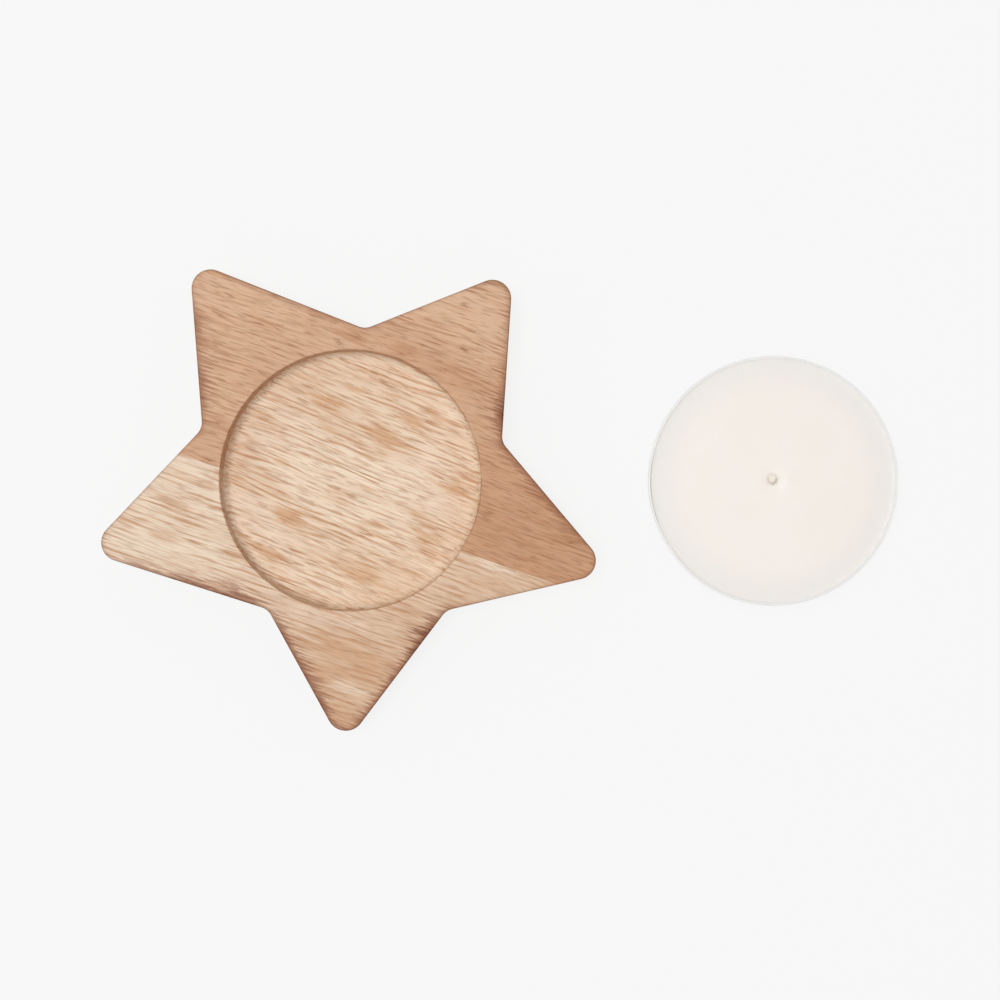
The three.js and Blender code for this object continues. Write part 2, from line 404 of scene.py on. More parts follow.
def sawn_half(name, side):
    """One of the two top boards: side is -1 for the one behind the glue line and +1 for the one in front."""
    bm = top_layer()
    normal, offset = glue_line()
    offset += side * GLUE_HAIRLINE
    cut = bmesh.ops.bisect_plane(
        bm, geom=bm.verts[:] + bm.edges[:] + bm.faces[:], dist=1e-7, plane_co=(*(normal * offset), 0),
        plane_no=(*(normal * -side), 0), clear_outer=True)
    rim = [e for e in cut["geom_cut"] if isinstance(e, bmesh.types.BMEdge)]
    bmesh.ops.holes_fill(bm, edges=rim, sides=0)
    return from_bmesh(name, bm, 30)


# ======== Pieces turned or plaited by rule ========

def rule(name, sizes):
    """An empty Geometry Nodes tree with a named input for each size, and those inputs."""
    tree = bpy.data.node_groups.new(name, "GeometryNodeTree")
    tree.interface.new_socket("Geometry", in_out="INPUT", socket_type="NodeSocketGeometry")
    for label, kind in sizes.items():
        tree.interface.new_socket(label, in_out="INPUT", socket_type="NodeSocket" + kind)
    tree.interface.new_socket("Geometry", in_out="OUTPUT", socket_type="NodeSocketGeometry")
    return tree, node(tree, "NodeGroupInput").outputs


def end_rule(tree, geometry, material):
    """Ends a tree in Realize Instances and Set Material."""
    real = node(tree, "GeometryNodeRealizeInstances", {"Geometry": geometry})
    clad = node(tree, "GeometryNodeSetMaterial", {"Geometry": real.outputs[0], "Material": material})
    node(tree, "NodeGroupOutput", {"Geometry": clad.outputs[0]})


def whole(tree, operation, first, second):
    """The result of an Integer Math node."""
    return node(tree, "FunctionNodeIntegerMath", {0: first, 1: second}, operation=operation).outputs[0]


def turning_rule():
    """Turns a profile, a chain of vertices at (radius, 0, height), about an upright axis."""
    tree, size = rule("turned_piece", {"Steps": "Int", "Axis": "Vector", "Material": "Material"})
    profile = size["Geometry"]
    count = node(tree, "GeometryNodeAttributeDomainSize", {"Geometry": profile}).outputs["Point Count"]
    columns = whole(tree, "ADD", size["Steps"], 1)
    grid = node(tree, "GeometryNodeMeshGrid", {"Vertices X": count, "Vertices Y": columns})
    index = node(tree, "GeometryNodeInputIndex").outputs[0]
    sampled = node(
        tree, "GeometryNodeSampleIndex",
        {"Geometry": profile, "Value": node(tree, "GeometryNodeInputPosition").outputs[0],
         "Index": whole(tree, "DIVIDE_FLOOR", index, columns)}, data_type="FLOAT_VECTOR")
    share = calc(tree, "DIVIDE", whole(tree, "MODULO", index, columns), size["Steps"])
    placed = node(
        tree, "ShaderNodeVectorRotate",
        {"Vector": sampled.outputs["Value"], "Angle": calc(tree, "MULTIPLY", share, math.tau)},
        rotation_type="Z_AXIS")
    moved = node(tree, "ShaderNodeVectorMath", {0: placed.outputs[0], 1: size["Axis"]}, operation="ADD")
    shaped = node(tree, "GeometryNodeSetPosition", {
        "Geometry": grid.outputs["Mesh"], "Position": moved.outputs[0]})
    closed = node(tree, "GeometryNodeMergeByDistance", {"Geometry": shaped.outputs[0], "Distance": NARROW})
    end_rule(tree, closed.outputs[0], size["Material"])
    return tree


def plaiting_rule():
    """Plaits strands round a line that stands upright as far as Bend From and then leans over to Lean."""
    tree, size = rule("plaited_wick", {
        "Foot": "Vector", "Height": "Float", "Bend From": "Float", "Lean": "Vector", "Strands": "Int",
        "Plait Radius": "Float", "Strand Radius": "Float", "Turns": "Float", "Material": "Material"})
    line = node(tree, "GeometryNodeCurvePrimitiveLine", {"End": (0, 0, 1)})
    fine = node(tree, "GeometryNodeResampleCurve", {"Curve": line.outputs[0], "Count": 90})
    starts = node(tree, "GeometryNodePoints", {"Count": size["Strands"]})
    index = node(tree, "GeometryNodeInputIndex").outputs[0]
    strand = node(tree, "GeometryNodeStoreNamedAttribute",
                  {"Geometry": starts.outputs[0], "Name": "strand", "Value": index}, data_type="FLOAT")
    laid = node(tree, "GeometryNodeInstanceOnPoints", {
        "Points": strand.outputs[0], "Instance": fine.outputs[0]})
    real = node(tree, "GeometryNodeRealizeInstances", {"Geometry": laid.outputs[0]})
    number = node(tree, "GeometryNodeInputNamedAttribute", {"Name": "strand"}, data_type="FLOAT").outputs[0]
    along = node(tree, "GeometryNodeSplineParameter").outputs["Factor"]
    # every second strand turns the other way, and each passes over one neighbour and under the next
    hand = calc(tree, "SUBTRACT", calc(tree, "MULTIPLY", calc(tree, "MODULO", number, 2.0), 2.0), 1.0)
    turned = calc(tree, "MULTIPLY", calc(tree, "MULTIPLY", along, size["Turns"]), math.tau)
    phase = calc(tree, "MULTIPLY", calc(tree, "DIVIDE", number, size["Strands"]), math.tau)
    angle = calc(tree, "ADD", phase, calc(tree, "MULTIPLY", turned, hand))
    over = calc(tree, "COSINE", calc(tree, "ADD", calc(tree, "MULTIPLY", turned, 4.0),
                                     calc(tree, "MULTIPLY", hand, math.pi / 2)))
    radius = calc(tree, "MULTIPLY_ADD", calc(tree, "MULTIPLY", over, size["Strand Radius"]), 0.35,
                  size["Plait Radius"])
    height = calc(tree, "MULTIPLY", along, size["Height"])
    leaned = calc(tree, "DIVIDE", calc(tree, "SUBTRACT", height, size["Bend From"]),
                  calc(tree, "SUBTRACT", size["Height"], size["Bend From"]), clamp=True)
    leaned = calc(tree, "POWER", leaned, 1.5)
    ring = node(tree, "ShaderNodeCombineXYZ", {
        "X": calc(tree, "MULTIPLY", radius, calc(tree, "COSINE", angle)),
        "Y": calc(tree, "MULTIPLY", radius, calc(tree, "SINE", angle)), "Z": height})
    bent = node(tree, "ShaderNodeVectorMath", {0: size["Lean"], "Scale": leaned}, operation="SCALE")
    spot = node(tree, "ShaderNodeVectorMath", {0: ring.outputs[0], 1: bent.outputs[0]}, operation="ADD")
    spot = node(tree, "ShaderNodeVectorMath", {0: spot.outputs[0], 1: size["Foot"]}, operation="ADD")
    paths = node(tree, "GeometryNodeSetPosition", {"Geometry": real.outputs[0], "Position": spot.outputs[0]})
    section = node(tree, "GeometryNodeCurvePrimitiveCircle", {
        "Resolution": 8, "Radius": size["Strand Radius"]})
    tubes = node(tree, "GeometryNodeCurveToMesh", {
        "Curve": paths.outputs[0], "Profile Curve": section.outputs[0], "Fill Caps": True})
    # a straight bundle of threads fills the middle of the plait
    upright = node(tree, "ShaderNodeCombineXYZ", {"Z": height}).outputs[0]
    middle = node(tree, "ShaderNodeVectorMath", {0: upright, 1: bent.outputs[0]}, operation="ADD")
    middle = node(tree, "ShaderNodeVectorMath", {0: middle.outputs[0], 1: size["Foot"]}, operation="ADD")
    heart = node(tree, "GeometryNodeSetPosition", {
        "Geometry": fine.outputs[0], "Position": middle.outputs[0]})
    bundle = node(tree, "GeometryNodeCurvePrimitiveCircle", {
        "Resolution": 16, "Radius": size["Plait Radius"]})
    core = node(tree, "GeometryNodeCurveToMesh", {
        "Curve": heart.outputs[0], "Profile Curve": bundle.outputs[0], "Fill Caps": True})
    both = node(tree, "GeometryNodeJoinGeometry")
    for part in (tubes, core):
        tree.links.new(part.outputs[0], both.inputs[0])
    end_rule(tree, both.outputs[0], size["Material"])
    return tree


def made_by(tree, name, mesh, sizes, sharp_degrees=35):
    """The plain mesh object that a tree makes from a mesh and its sizes."""
    blank = link(name + "_blank", mesh)
    modifier = blank.modifiers.new("rule", "NODES")
    modifier.node_group = tree
    for item in tree.interface.items_tree:
        if item.in_out == "INPUT" and item.name in sizes:
            modifier[item.identifier] = sizes[item.name]
    graph = bpy.context.evaluated_depsgraph_get()
    result = bpy.data.meshes.new_from_object(blank.evaluated_get(graph), depsgraph=graph)
    bpy.data.objects.remove(blank)
    bm = bmesh.new()
    bm.from_mesh(result)
    for face in bm.faces:
        face.material_index = 0
    made = from_bmesh(name, bm, sharp_degrees)
    made.data.materials.append(sizes["Material"])
    return made


def chain(name, points):
    """A mesh of vertices at (radius, 0, height), joined one to the next."""
    mesh = bpy.data.meshes.new(name)
    mesh.from_pydata([(r, 0, z) for r, z in points], [(i, i + 1) for i in range(len(points) - 1)], [])
    return mesh


def bow(centre_r, centre_z, radius, start, end, steps=BEND_STEPS):
    """Points on an arc of a profile, its angles in degrees from outwards and anticlockwise."""
    turns = [math.radians(start + (end - start) * k / steps) for k in range(steps + 1)]
    return [(centre_r + radius * math.cos(t), centre_z + radius * math.sin(t)) for t in turns]


MOUTH_R = (cup_high.x - cup_low.x) / 2
FOOT_R = MOUTH_R - CUP_TAPER


def cup_radius(z):
    return FOOT_R + (MOUTH_R - FOOT_R) * z / cup_high.z


def cup_profile():
    """The clear cup: a flat floor sunk a hair above its foot ring, a drawn-in wall and a rounded bead."""
    height = cup_high.z
    foot = bow(FOOT_R - CUP_FOOT_ROUND, CUP_FOOT_ROUND, CUP_FOOT_ROUND, -90, 0)
    bead = bow(MOUTH_R - CUP_BEAD, height - CUP_BEAD, CUP_BEAD, -40, 180, 12)
    inside = CUP_FOOT_ROUND - CUP_WALL
    corner = bow(FOOT_R - CUP_FOOT_ROUND, CUP_FOOT_ROUND, inside, 0, -90)
    outside = [(cup_radius(z) - CUP_DRAW, z) for z in CUP_LEVELS]
    within = [(cup_radius(z) - CUP_WALL, z) for z in reversed(CUP_LEVELS)]
    under = [(0, CUP_SUNK), (FOOT_R - FOOT_RING - FOOT_SLOPE, CUP_SUNK), (FOOT_R - FOOT_RING, 0)]
    floor = [(r, z if z > CUP_FLOOR else CUP_FLOOR) for r, z in corner] + [(0, CUP_FLOOR)]
    return under + foot + outside + bead + within + floor


def wax_profile():
    """The wax: it clings to the wall at the top, has sunk a little inside that, and dips round the wick."""
    top = wax_high.z
    low = wax_low.z
    levels = (low + WAX_FOOT, 5 * MM, 10 * MM, top - WAX_CLING)
    side = [(cup_radius(z) - CUP_WALL - WAX_FIT, z) for z in levels]
    edge_r = cup_radius(top) - CUP_WALL - WAX_FIT
    face = []
    for k in range(WAX_RINGS + 1):
        near = 1 - (k / WAX_RINGS) ** WAX_CROWDING
        radius = edge_r * near
        cling = WAX_CLING * math.exp((radius - edge_r) / WAX_CLING_REACH)
        sag = WAX_SAG * (0.5 + 0.5 * math.cos(math.pi * near))
        pit = WICK_PIT_DEPTH * math.exp(-(radius / WICK_PIT_R) ** 2)
        face.append((radius if k < WAX_RINGS else 0, top - WAX_CLING + cling - sag - pit))
    foot_r = side[0][0]
    bottom = [(0, low), (foot_r - WAX_FOOT, low), (foot_r - 0.3 * WAX_FOOT, low + 0.25 * WAX_FOOT)]
    return bottom + side + face


def sustainer_profile():
    """The pressed tin that holds the wick's foot: a thin disc with a rolled lip and a crimped neck."""
    low = sustainer_low.z
    neck = sustainer_high.z
    outer = (sustainer_high.x - sustainer_low.x) / 2
    bore = (wick_high.x - wick_low.x) / 2
    inner_r = bore + TIN_FIT
    neck_r = inner_r + TIN_SHEET
    lip = bow(outer - TIN_SHEET / 2, low + TIN_SHEET / 2, TIN_SHEET / 2, -90, 90)
    root = bow(neck_r + TIN_FILLET, low + TIN_SHEET + TIN_FILLET, TIN_FILLET, 270, 180)
    crimp = [(neck_r, neck - 0.9 * MM), (neck_r - 0.12 * MM, neck - 0.5 * MM), (neck_r, neck - 0.1 * MM),
             (neck_r - 0.1 * MM, neck)]
    return [(inner_r, low), (neck_r, low)] + lip + root + crimp + [(inner_r, neck), (inner_r, low)]


# ======== Finishes ========

# besides real toast and scorch, these two colours paint shade: the first on the recess's -X wall, the second
# round the recess's mouth and along the star's arris
TOAST_AND_WALL_SHADE = srgb(172, 112, 76)
SCORCH_AND_EDGE_SHADE = srgb(108, 59, 39)


def new_finish(name):
    """An empty material, its tree and its place in the object's own coordinates."""
    material = bpy.data.materials.new(name)
    material.use_nodes = True
    tree = material.node_tree
    tree.nodes.clear()
    return material, tree, node(tree, "ShaderNodeTexCoord").outputs["Object"]


def end_finish(tree, inputs):
    """Ends a material in a Principled shader."""
    shader = node(tree, "ShaderNodeBsdfPrincipled", inputs)
    node(tree, "ShaderNodeOutputMaterial", {"Surface": shader.outputs[0]})


def mixed(tree, share, first, second):
    """Two colours mixed: share is how much of the second shows."""
    made = node(tree, "ShaderNodeMix", {0: share, 6: first, 7: second}, data_type="RGBA")
    return made.outputs[2]


def ranged(tree, value, low, high, to_low=0.0, to_high=1.0):
    """A value eased from one range to another, held at both ends."""
    return node(tree, "ShaderNodeMapRange", {
        "Value": value, "From Min": low, "From Max": high, "To Min": to_low, "To Max": to_high},
        interpolation_type="SMOOTHSTEP").outputs[0]


def speckle(tree, where, size, turn=0.0, shift=(0, 0, 0), detail=2.0, roughness=0.5):
    """Noise whose grains measure size (length, width, depth) in metres, turned about Z."""
    mapped = node(tree, "ShaderNodeMapping", {
        "Vector": where, "Location": shift, "Rotation": (0, 0, turn), "Scale": size}, vector_type="TEXTURE")
    return node(tree, "ShaderNodeTexNoise", {
        "Vector": mapped.outputs[0], "Scale": 1.0, "Detail": detail, "Roughness": roughness}).outputs[0]


def wood(name, tones, amounts, turn, shift, fade, marks):
    """Bare sanded wood, scorched along its sawn edges, with painted shade on the recess's -X wall (there
    mixed with some toast) and round its mouth.
    Turn is the grain's direction, and shift moves each layer of noise, so that no two boards are alike.
    The tones are its ground, its warm patches, its ruled lines and its pores. Amounts are how strong the
    warm patches, the ruled lines and the pore dashes are. Fade is the direction in which the board darkens,
    from and to which distance along it in millimetres, and how much. Marks are (x, y, half width, strength)
    of single blotches in millimetres, drawn out along the grain: warm where the strength is above 0 and bare
    ground where it is below."""
    material, tree, where = new_finish(name)
    ground, warm, line, pore = tones
    patches, lines, pores = amounts
    # the grain wanders a little from side to side
    wander = node(tree, "ShaderNodeTexNoise", {"Vector": where, "Scale": 45.0, "Detail": 1.0})
    drift = node(tree, "ShaderNodeVectorMath", {
        0: wander.outputs["Color"], 1: (-0.5, -0.5, -0.5)}, operation="ADD")
    drift = node(tree, "ShaderNodeVectorMath", {
        0: drift.outputs[0], "Scale": GRAIN_WANDER}, operation="SCALE")
    grain = node(tree, "ShaderNodeVectorMath", {0: where, 1: drift.outputs[0]}, operation="ADD").outputs[0]

    def drawn(length, width, depth, offset, detail=1.0):
        """Noise drawn out along the grain, its size in millimetres."""
        place = tuple(offset * s for s in shift)
        return speckle(tree, grain, (length * MM, width * MM, depth * MM), turn, place, detail)

    def times(*values):
        """The product of all the values."""
        result = values[0]
        for value in values[1:]:
            result = calc(tree, "MULTIPLY", result, value)
        return result

    broad = ranged(tree, drawn(24, 6, 8, 1.0, 2.0), 0.38, 0.66)
    calm = ranged(tree, drawn(15, 4.5, 7, 1.3, 2.0), 0.38, 0.58, 0.4, 1.0)
    ragged = drawn(6, 0.6, 2, 1.5, 3.0)
    patch = ranged(tree, drawn(7.0, 1.5, 3, 1.7, 4.0), 0.52, 0.72)
    # ruled lines are a wave across the grain that noise sways and breaks
    turned = node(tree, "ShaderNodeMapping", {
        "Vector": grain, "Rotation": (0, 0, turn)}, vector_type="TEXTURE")
    across = node(tree, "ShaderNodeSeparateXYZ", {0: turned.outputs[0]}).outputs["Y"]
    sway = calc(tree, "MULTIPLY", drawn(13, 1.8, 4, 2.9), GRAIN_LINE_SWAY)
    wave = calc(tree, "SINE", calc(tree, "MULTIPLY_ADD", across, math.tau / GRAIN_LINE_SPACING, sway))
    ruled = times(ranged(tree, wave, -0.1, 0.95), ranged(tree, drawn(5.5, 0.8, 2.2, 2.3), 0.38, 0.60))
    ruled_fine = ranged(tree, drawn(5, 0.3, 1.2, 3.1, 2.0), 0.50, 0.68)
    dash = ranged(tree, drawn(2.3, 0.27, 0.5, 4.3, 0.5), 0.57, 0.70)
    fibre = drawn(3.2, 0.16, 0.3, 5.9, 1.0)

    threads = ranged(tree, ruled_fine, 0.0, 1.0, 0.95, 1.3)

    (aim_x, aim_y), start, end, most = fade
    slope = node(tree, "ShaderNodeVectorMath", {0: where, 1: (aim_x, aim_y, 0)}, operation="DOT_PRODUCT")
    aged = ranged(tree, slope.outputs["Value"], start * MM, end * MM, 0.0, most)
    colour = mixed(tree, aged, ground, warm)
    colour = mixed(tree, times(broad, patches * 0.45), colour, warm)
    colour = mixed(tree, times(patch, patches), colour, warm)
    for x, y, half, strength in marks:
        spot = node(tree, "ShaderNodeMapping", {
            "Vector": grain, "Location": (x * MM, y * MM, 0), "Rotation": (0, 0, turn),
            "Scale": (2.8 * half * MM, half * MM, 1)}, vector_type="TEXTURE")
        reach = node(tree, "ShaderNodeVectorMath", {0: spot.outputs[0]}, operation="LENGTH").outputs["Value"]
        reach = calc(tree, "MULTIPLY_ADD", ragged, 3.6, calc(tree, "SUBTRACT", reach, 1.8))
        share = times(ranged(tree, reach, 1.5, 0.4, 0.0, abs(strength) * MARK_STRENGTH), threads)
        colour = mixed(tree, share, colour, warm if strength > 0 else ground)
    colour = mixed(tree, times(ruled, calm, lines), colour, line)
    colour = mixed(tree, times(ruled_fine, calm, lines * 0.6), colour, line)
    colour = mixed(tree, times(dash, ranged(tree, patch, 0.0, 1.0, 0.55, 1.0), pores), colour, pore)
    shade = ranged(tree, fibre, 0.3, 0.7, 0.92, 1.07)
    shaded = node(tree, "ShaderNodeVectorMath", {0: colour, "Scale": shade}, operation="SCALE").outputs[0]

    # scorch: streaks that run in along the grain from the sawn edge, toasted at their ends, and a dark
    # arris, scorched where the edge is burnt and painted shade of the rounded edge all round
    gap = node(tree, "ShaderNodeAttribute", attribute_name="edge_gap").outputs["Fac"]
    burn = node(tree, "ShaderNodeAttribute", attribute_name="scorch").outputs["Fac"]
    depth = node(tree, "ShaderNodeAttribute", attribute_name="scorch_reach").outputs["Fac"]
    streak = ranged(tree, drawn(4.5, 0.34, 1.5, 7.3, 3.0), 0.42, 0.60, 0.35, 1.15)
    grit = speckle(tree, grain, (0.9 * MM, 0.3 * MM, 0.6 * MM), turn, detail=2.0)
    soot = ranged(tree, grit, 0.3, 0.7, 0.7, 1.25)
    reach = calc(tree, "MULTIPLY_ADD", streak, depth, 0.15 * MM)
    seared = calc(tree, "SUBTRACT", 1.0, calc(tree, "DIVIDE", gap, reach), clamp=True)
    toast = calc(tree, "MULTIPLY", seared, calc(tree, "MULTIPLY_ADD", burn, 1.2, 0.05, clamp=True),
                 clamp=True)
    char = times(calc(tree, "POWER", seared, 1.5), calc(tree, "MULTIPLY", burn, 1.1, clamp=True), soot)
    # the arris: scorch where the burn is strong, plus painted shade of the rounded edge everywhere
    arris = times(ranged(tree, gap, 0.4 * MM, 0.06 * MM), calc(tree, "MULTIPLY_ADD", burn, 0.6, 0.25))
    # painted shade on the recess's upright wall on its -X side, which faces away from the key light, mixed
    # with some toast from the cutter; and painted shade along the mouth's arris, left out towards -Y
    split = node(tree, "ShaderNodeSeparateXYZ", {0: where})
    flat = node(tree, "ShaderNodeCombineXYZ", {"X": split.outputs["X"], "Y": split.outputs["Y"]})
    radius = node(tree, "ShaderNodeVectorMath", {0: flat.outputs[0]}, operation="LENGTH").outputs["Value"]
    wall = times(ranged(tree, radius, RECESS_R + 0.12 * MM, RECESS_R),
                 ranged(tree, split.outputs["Z"], SEAT + 1.0 * MM, SEAT + 1.8 * MM),
                 ranged(tree, split.outputs["X"], -4 * MM, -17 * MM, 0.0, 1.0),
                 ranged(tree, speckle(tree, where, (2.5 * MM,) * 3), 0.3, 0.7, 0.2, 0.45))
    # painted shade: a thin dark line round the mouth's rounded arris
    lip = times(ranged(tree, radius, RECESS_R + 0.25 * MM, RECESS_R + 0.1 * MM),
                ranged(tree, split.outputs["Z"], TOP - 0.5 * MM, TOP - 0.2 * MM),
                ranged(tree, split.outputs["Y"], -16 * MM, -4 * MM, 0.0, 1.0),
                ranged(tree, speckle(tree, where, (1.2 * MM,) * 3), 0.3, 0.7, 0.0, 0.3))
    colour = mixed(tree, calc(tree, "MAXIMUM", toast, wall), shaded, TOAST_AND_WALL_SHADE)
    dark = calc(tree, "MAXIMUM", calc(tree, "MAXIMUM", char, arris), lip, clamp=True)
    colour = mixed(tree, dark, colour, SCORCH_AND_EDGE_SHADE)

    relief = calc(tree, "MULTIPLY_ADD", dash, -1.0,
                  calc(tree, "MULTIPLY_ADD", fibre, 0.6, times(ruled, -0.35)))
    bump = node(tree, "ShaderNodeBump", {"Height": relief, "Strength": 0.35, "Distance": 0.06 * MM})
    gloss = calc(tree, "MULTIPLY_ADD", dash, 0.12, ranged(tree, fibre, 0.3, 0.7, 0.5, 0.62))
    end_finish(tree, {"Base Color": colour, "Roughness": gloss, "Normal": bump.outputs[0],
                      "Specular IOR Level": 0.25})
    return material


def wax_finish():
    """Smooth satin paraffin: slightly translucent, faintly clouded, a little greyer towards the cup."""
    material, tree, where = new_finish("satin_wax")
    cloud = ranged(tree, speckle(tree, where, (9 * MM,) * 3, detail=3.0), 0.3, 0.7)
    fine = speckle(tree, where, (1.1 * MM,) * 3, detail=3.0, roughness=0.6)
    centre = node(tree, "ShaderNodeVectorMath", {0: where, 1: tuple(-CANDLE)}, operation="ADD")
    flat = node(tree, "ShaderNodeVectorMath", {0: centre.outputs[0], 1: (1, 1, 0)}, operation="MULTIPLY")
    radius = node(tree, "ShaderNodeVectorMath", {0: flat.outputs[0]}, operation="LENGTH").outputs["Value"]
    colour = mixed(tree, cloud, srgb(247, 239, 233), srgb(245, 238, 230))
    colour = mixed(tree, ranged(tree, radius, 12 * MM, 18.2 * MM), colour, srgb(238, 234, 229))
    bump = node(tree, "ShaderNodeBump", {
        "Height": calc(tree, "MULTIPLY_ADD", fine, 0.4, cloud), "Strength": 0.25, "Distance": 0.05 * MM})
    end_finish(tree, {
        "Base Color": colour, "Normal": bump.outputs[0],
        "Roughness": ranged(tree, fine, 0.3, 0.7, 0.36, 0.5), "Subsurface Weight": 0.25,
        "Subsurface Radius": (1.0, 0.75, 0.6), "Subsurface Scale": 1.2 * MM,
        "Specular IOR Level": 0.35, "IOR": 1.44})
    return material


def plastic_finish():
    """Thin clear moulded plastic with faint flow marks."""
    material, tree, where = new_finish("thin_clear_plastic")
    flow = speckle(tree, where, (3 * MM, 3 * MM, 9 * MM), detail=2.0)
    scuff = speckle(tree, where, (1.6 * MM, 1.6 * MM, 4 * MM), detail=2.0)
    colour = mixed(tree, ranged(tree, flow, 0.3, 0.7), srgb(243, 240, 235), srgb(238, 236, 232))
    bump = node(tree, "ShaderNodeBump", {"Height": flow, "Strength": 0.1, "Distance": 0.03 * MM})
    end_finish(tree, {
        "Base Color": colour, "Roughness": ranged(tree, scuff, 0.35, 0.75, 0.16, 0.3),
        "Specular IOR Level": 0.25, "Normal": bump.outputs[0],
        "Alpha": ranged(tree, scuff, 0.3, 0.8, 0.2, 0.25), "IOR": 1.49})
    return material


def cotton_finish():
    """Waxed braided cotton, cream with thin darker threads."""
    material, tree, where = new_finish("waxed_cotton")
    thread = speckle(tree, where, (0.05 * MM, 0.05 * MM, 0.4 * MM), detail=2.0)
    colour = mixed(tree, ranged(tree, thread, 0.35, 0.68), srgb(247, 240, 228), srgb(238, 228, 208))
    bump = node(tree, "ShaderNodeBump", {"Height": thread, "Strength": 0.5, "Distance": 0.02 * MM})
    end_finish(tree, {
        "Base Color": colour, "Roughness": ranged(tree, thread, 0.3, 0.7, 0.5, 0.75),
        "Normal": bump.outputs[0], "Sheen Weight": 0.2, "Sheen Roughness": 0.5})
    return material


def tin_finish():
    """Bright pressed tinplate with a rolled grain and dull spots."""
    material, tree, where = new_finish("bright_tinplate")
    rolled = speckle(tree, where, (4 * MM, 0.06 * MM, 0.5 * MM), detail=2.0)
    dull = speckle(tree, where, (1.6 * MM,) * 3, detail=3.0)
    colour = mixed(tree, ranged(tree, dull, 0.35, 0.7), srgb(206, 206, 204), srgb(172, 172, 170))
    bump = node(tree, "ShaderNodeBump", {"Height": rolled, "Strength": 0.2, "Distance": 0.02 * MM})
    end_finish(tree, {"Base Color": colour, "Metallic": 1.0, "Normal": bump.outputs[0],
                      "Roughness": ranged(tree, dull, 0.3, 0.7, 0.24, 0.42)})
    return material


pale_wood = wood(
    "bare_pale_wood", (srgb(236, 214, 190), srgb(206, 162, 126), srgb(194, 147, 111), srgb(160, 108, 76)),
    (0.6, 0.9, 0.35), GRAIN_TURN, (0.013, 0.007, 0.003), ((0.2, -1.0), 4, 34, 0.62), (
        (1.0, -26.6, 2.5, 0.8), (-7.0, -24.6, 1.3, 0.5), (-1.4, -35.6, 1.3, 0.6), (9.7, -19.8, 1.2, 0.6),
        (-2.5, -30.0, 1.6, 0.5), (2.6, -38.0, 1.2, 0.6),
        (-26.6, -4.4, 1.0, 0.7), (-28.8, -9.0, 0.8, 0.5), (0.8, -32.0, 1.0, -0.8), (23.2, -12.3, 0.9, -0.9),
        (-33.0, -10.7, 1.6, -0.7), (-22.4, 0.8, 0.8, -0.9), (1.5, -21.8, 0.7, -0.5),
        (30.0, -12.6, 0.5, -0.7)))
floor_wood = wood(
    "bare_floor_wood", (srgb(241, 220, 195), srgb(210, 164, 123), srgb(199, 150, 112), srgb(166, 112, 78)),
    (0.6, 0.85, 0.6), FLOOR_GRAIN_TURN, (0.031, 0.019, 0.011), ((0.2, -1.0), 8, 24, 0.15), (
        (-9.8, -6.0, 1.2, 1.0), (-3.7, 11.9, 1.0, 0.9), (-14.4, 10.3, 0.6, 0.6), (-11.4, 2.5, 0.5, 0.6),
        (12.0, 11.3, 0.5, 0.8), (9.1, 9.7, 0.9, 0.9), (5.1, 6.6, 1.4, 1.0), (15.8, -0.9, 1.0, 0.9),
        (8.3, 16.4, 0.6, 0.5), (1.2, -14.0, 1.3, 0.7), (-13.2, -11.7, 1.0, 0.7), (12.2, -8.6, 0.8, 0.7),
        (4.1, -6.9, 0.6, 0.6), (-9.0, -16.0, 1.3, -0.95), (-16.5, -5.0, 1.0, -0.7), (13.5, 3.6, 1.4, -0.6),
        (-3.3, -9.3, 0.9, -0.6)))
brown_wood = wood(
    "bare_brown_wood", (srgb(222, 183, 151), srgb(189, 135, 97), srgb(172, 120, 84), srgb(138, 88, 58)),
    (0.45, 0.55, 0.55), GRAIN_TURN, (0.047, 0.029, 0.017), ((0.55, -0.83), -44, 24, 0.65), (
        (20.7, 26.0, 5.0, -1.0), (19.0, 20.0, 3.0, -0.6), (0.2, 21.8, 0.9, 0.7), (7.9, 20.1, 0.8, 0.5),
        (21.4, 9.0, 1.0, 0.5), (23.3, 5.6, 0.8, 0.3), (29.8, -2.2, 1.1, 0.9), (32.3, -8.2, 1.0, 0.7),
        (-22.0, 27.5, 2.0, -0.6), (20.0, 9.5, 3.0, -0.35)))
white_wax = wax_finish()
clear_plastic = plastic_finish()
wick_cotton = cotton_finish()
tinplate = tin_finish()


# ======== The holder ========

def hand_over(piece, stands_for, body):
    """Gives a piece its body and hides the CAD node that it stands for."""
    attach(piece, body)
    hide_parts(stands_for)


base_piece = from_bmesh("star_base", base_layer(), 30)
brown_piece = sawn_half("star_brown_board", -1)
pale_piece = sawn_half("star_pale_board", 1)
for board, finish in ((base_piece, floor_wood), (brown_piece, brown_wood), (pale_piece, pale_wood)):
    add_edge_marks(board)
    board.data.materials.append(finish)
hand_over(base_piece, "base_board", "holder")
hand_over(brown_piece, "heartwood_board", "holder")
hand_over(pale_piece, "sapwood_board", "holder")


# ======== The tealight ========

turning = turning_rule()
for name, profile, stands_for, slot, material in (
        ("clear_cup", cup_profile(), "tealight_cup", "clear_plastic", clear_plastic),
        ("wax", wax_profile(), "wax_fill", "white_wax", white_wax),
        ("wick_foot_tin", sustainer_profile(), "wick_sustainer", "tinplate", tinplate)):
    piece = made_by(turning, name, chain(name + "_profile", profile),
                    {"Steps": TURN_STEPS, "Axis": CANDLE, "Material": material})
    hand_over(piece, stands_for, "tealight")

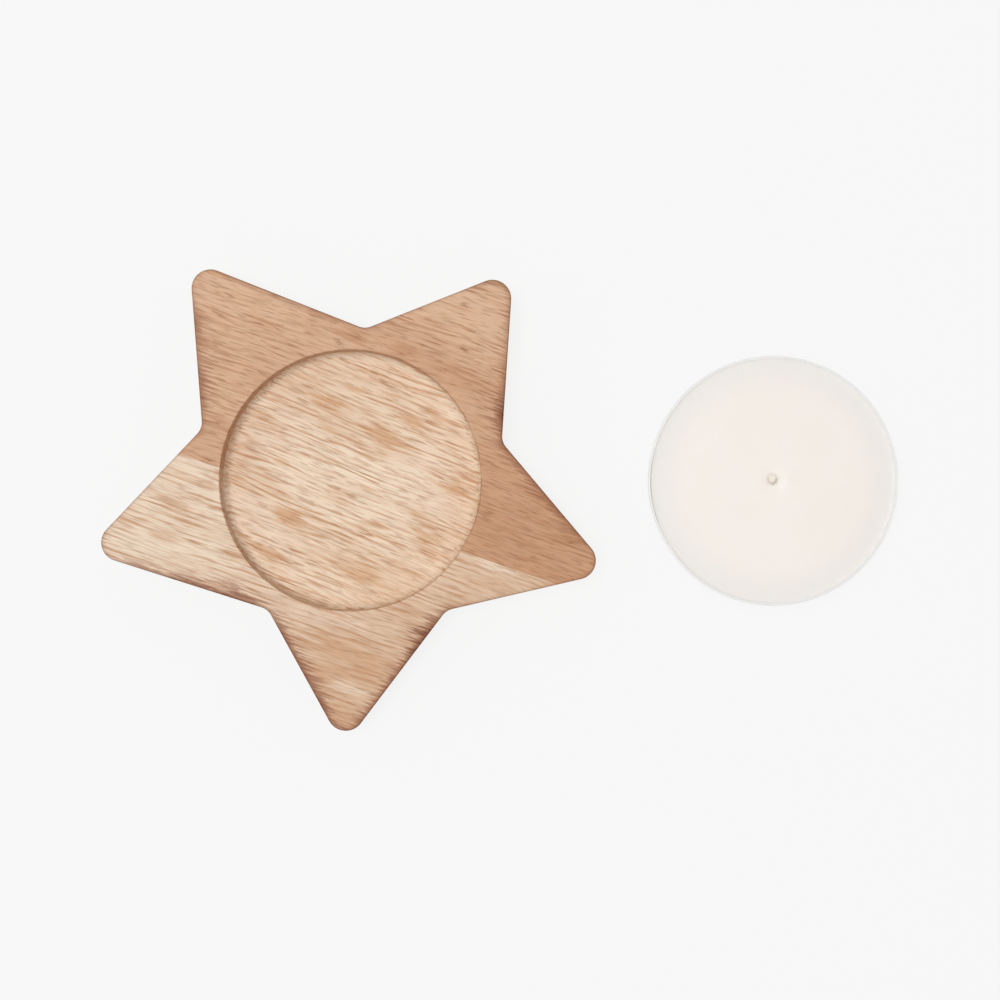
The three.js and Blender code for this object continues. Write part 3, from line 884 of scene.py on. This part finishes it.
wick_radius = (wick_high.x - wick_low.x) / 2
strand_radius = wick_radius * STRAND_SHARE
wick_foot = Vector((CANDLE.x, CANDLE.y, wick_low.z))
plait = made_by(plaiting_rule(), "plaited_wick", chain("wick_start", [(0, 0), (0, MM)]), {
    "Foot": wick_foot, "Height": wick_high.z - wick_low.z - WICK_SLANT,
    "Bend From": wax_high.z - WICK_BURIED - wick_low.z, "Lean": Vector((*WICK_LEAN, 0)),
    "Strands": WICK_STRANDS, "Plait Radius": wick_radius - strand_radius * STRAND_PACKING,
    "Strand Radius": strand_radius, "Turns": WICK_TURNS, "Material": wick_cotton}, 60)
hand_over(plait, "wick", "tealight")


# ======== Camera, floor and light ========

CAMERA_ABOVE_TOP = 0.300
CAMERA_X, CAMERA_Y = 22.96 * MM, -2.37 * MM
CAMERA_ROLL = math.radians(1.52)
LENS = 70.7
FLOOR_HALF = 3  # metres from the floor's middle to its edge
FLOOR_DROP = 0.02 * MM  # keeps the floor clear of the pieces that stand on it
FLOOR_GLOW = 0.84  # light that the floor itself gives off, which keeps its shadows faint
SKY_LIGHT = 0.4

camera_data = bpy.data.cameras.new("camera")
camera_data.lens = LENS
camera_data.sensor_width = 36
camera_data.clip_start = 0.01
camera = link("camera", camera_data)
camera.location = (CAMERA_X, CAMERA_Y, TOP + CAMERA_ABOVE_TOP)
camera.rotation_euler = (0, 0, CAMERA_ROLL)
bpy.context.scene.camera = camera

floor_mesh = bpy.data.meshes.new("floor")
floor_corners = [(x * FLOOR_HALF, y * FLOOR_HALF, 0) for x, y in ((-1, -1), (1, -1), (1, 1), (-1, 1))]
floor_mesh.from_pydata(floor_corners, [], [(0, 1, 2, 3)])
floor = link("floor", floor_mesh)
floor.location.z = -FLOOR_DROP
floor_material, floor_tree, _ = new_finish("paper_floor")
end_finish(floor_tree, {
    "Base Color": (0.1, 0.1, 0.1, 1), "Roughness": 0.9, "Specular IOR Level": 0.0,
    "Emission Color": (1, 1, 1, 1), "Emission Strength": FLOOR_GLOW})
floor_mesh.materials.append(floor_material)


def softbox(name, place, size, watts, aim=(0.02, 0, 0)):
    """A square area light that faces the object."""
    data = bpy.data.lights.new(name, "AREA")
    data.shape = "SQUARE"
    data.size = size
    data.energy = watts
    lamp = link(name, data)
    lamp.location = place
    lamp.rotation_euler = (Vector(aim) - Vector(place)).to_track_quat("-Z", "Y").to_euler()


softbox("key_softbox", (-0.09, 0.02, 1.0), 0.3, 5.6)
softbox("side_softbox", (-0.8, 0.0, 0.7), 0.4, 0.35)

world = bpy.data.worlds.new("studio")
world.use_nodes = True
world.node_tree.nodes["Background"].inputs["Color"].default_value = (1, 1, 1, 1)
world.node_tree.nodes["Background"].inputs["Strength"].default_value = SKY_LIGHT
bpy.context.scene.world = world
bpy.context.scene.view_settings.view_transform = "Standard"
